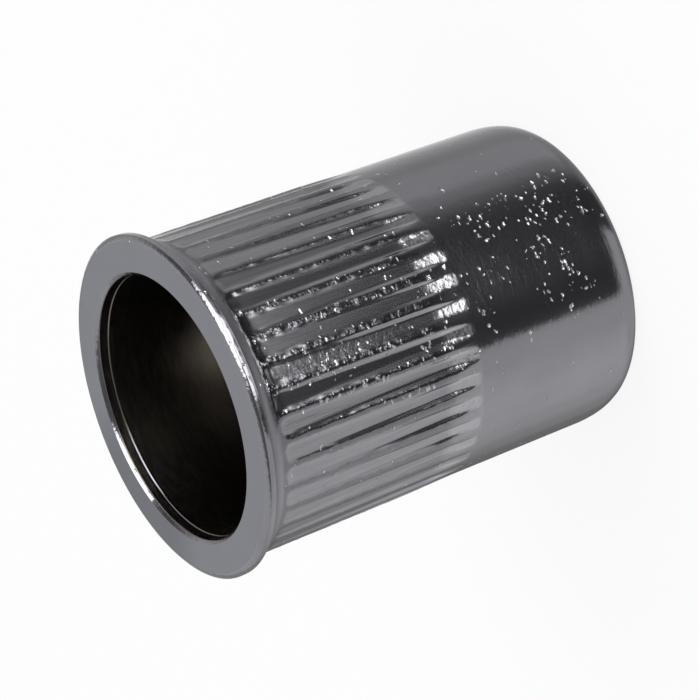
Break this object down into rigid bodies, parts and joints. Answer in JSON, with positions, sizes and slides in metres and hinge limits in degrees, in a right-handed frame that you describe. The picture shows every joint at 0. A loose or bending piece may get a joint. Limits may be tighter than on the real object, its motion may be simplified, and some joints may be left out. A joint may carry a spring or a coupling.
{
  "type": "rivet nut",
  "caption": "Knurled blind rivet nut with a small flange: an open-ended threaded insert that is set into a hole in sheet metal to give it a strong thread.",
  "frame": {"origin": "centre of the threaded end's face, on which the nut stands", "axes": "+Z along the thread's axis, from the threaded end to the flange"},
  "size_m": [0.0119, 0.0118, 0.0155],
  "materials": {
    "zinc_plated_steel": "bright zinc plate with a bluish passivation, satin on the flange and glossy on the body"
  },
  "bodies": {
    "root": {"rivet_nut": "zinc_plated_steel"}
  },
  "joints": []
}
